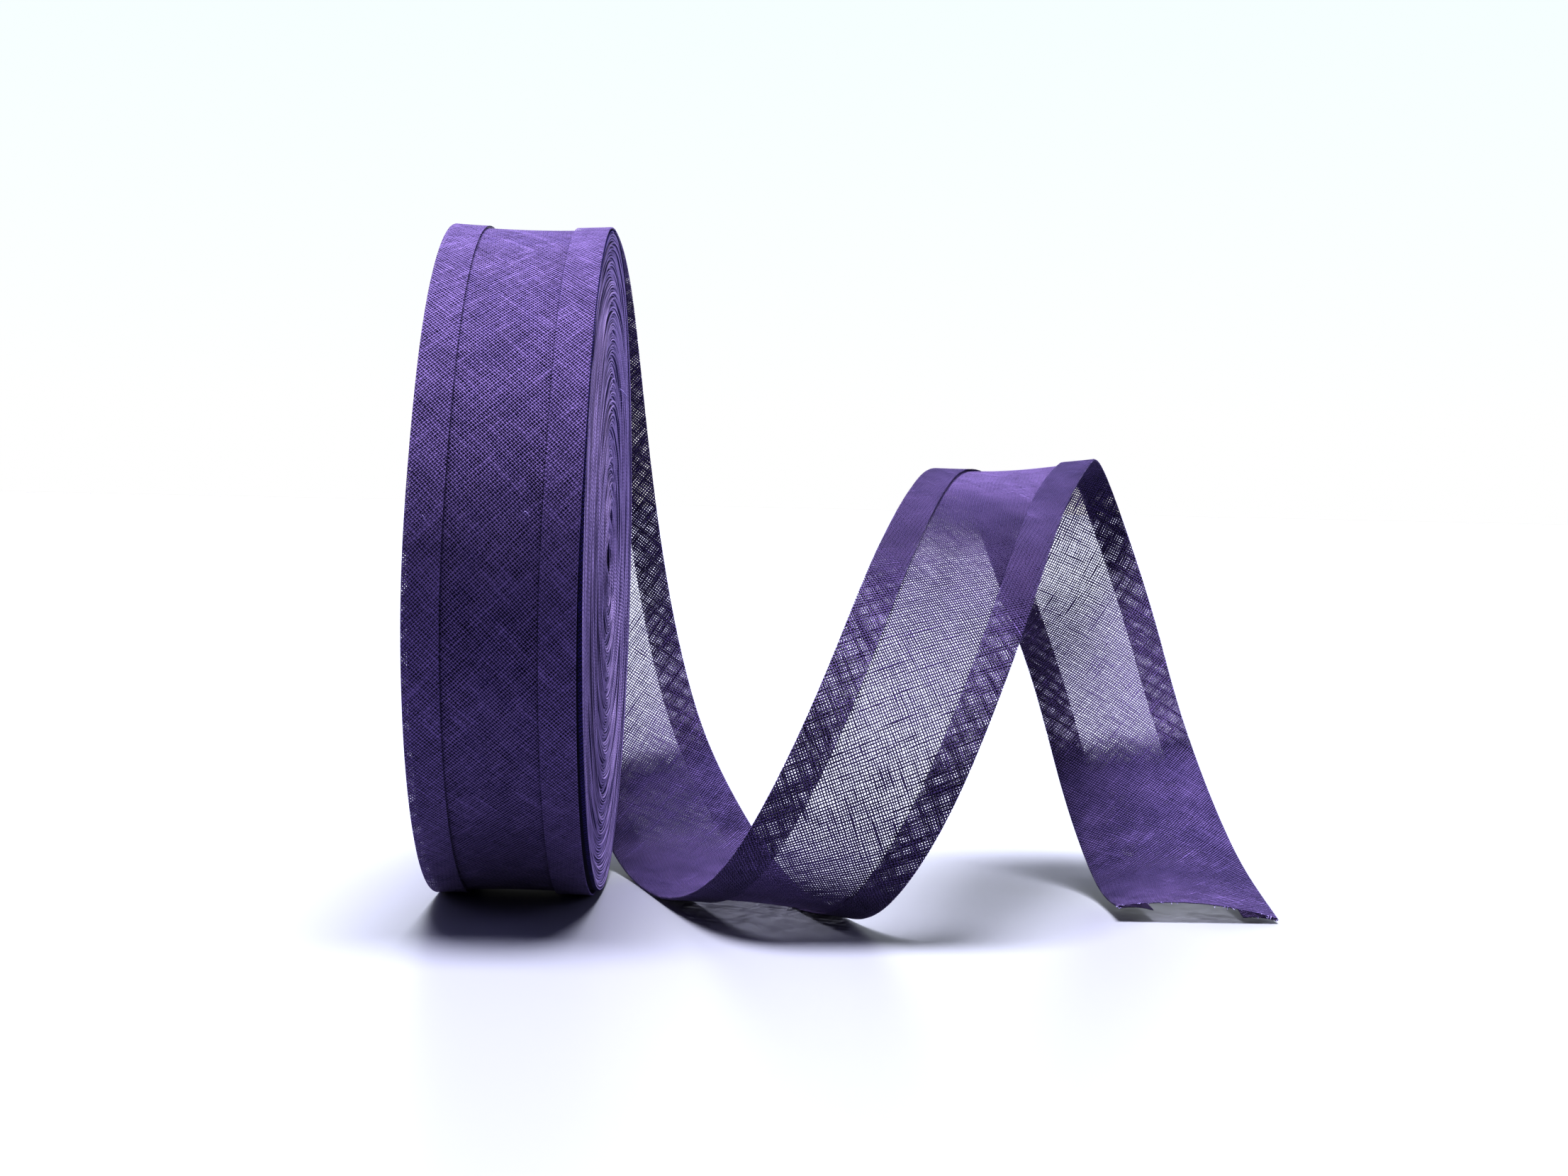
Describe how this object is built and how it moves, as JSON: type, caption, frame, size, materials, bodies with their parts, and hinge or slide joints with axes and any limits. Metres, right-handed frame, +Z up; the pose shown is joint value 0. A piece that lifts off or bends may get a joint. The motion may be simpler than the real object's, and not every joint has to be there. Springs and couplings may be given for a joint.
{
  "type": "roll of bias binding",
  "caption": "Roll of folded bias tape in sheer plain-woven cloth, standing on its rim, with a loose end that loops over the surface.",
  "frame": {"origin": "middle of the flat spot under the roll, on the surface that it stands on", "axes": "+X along the roll's axis towards the loose end, +Y to the back where the tape leaves the roll, +Z up"},
  "size_m": [0.1325, 0.1155, 0.1073],
  "materials": {
    "wound_cloth": "matt violet plain weave, wound in many turns, with the folded edges a shade darker",
    "single_cloth": "matt violet sheer plain weave on the bias, see-through between its two double edges"
  },
  "bodies": {
    "root": {"wound_roll": "wound_cloth", "loose_end": "single_cloth"}
  },
  "joints": []
}
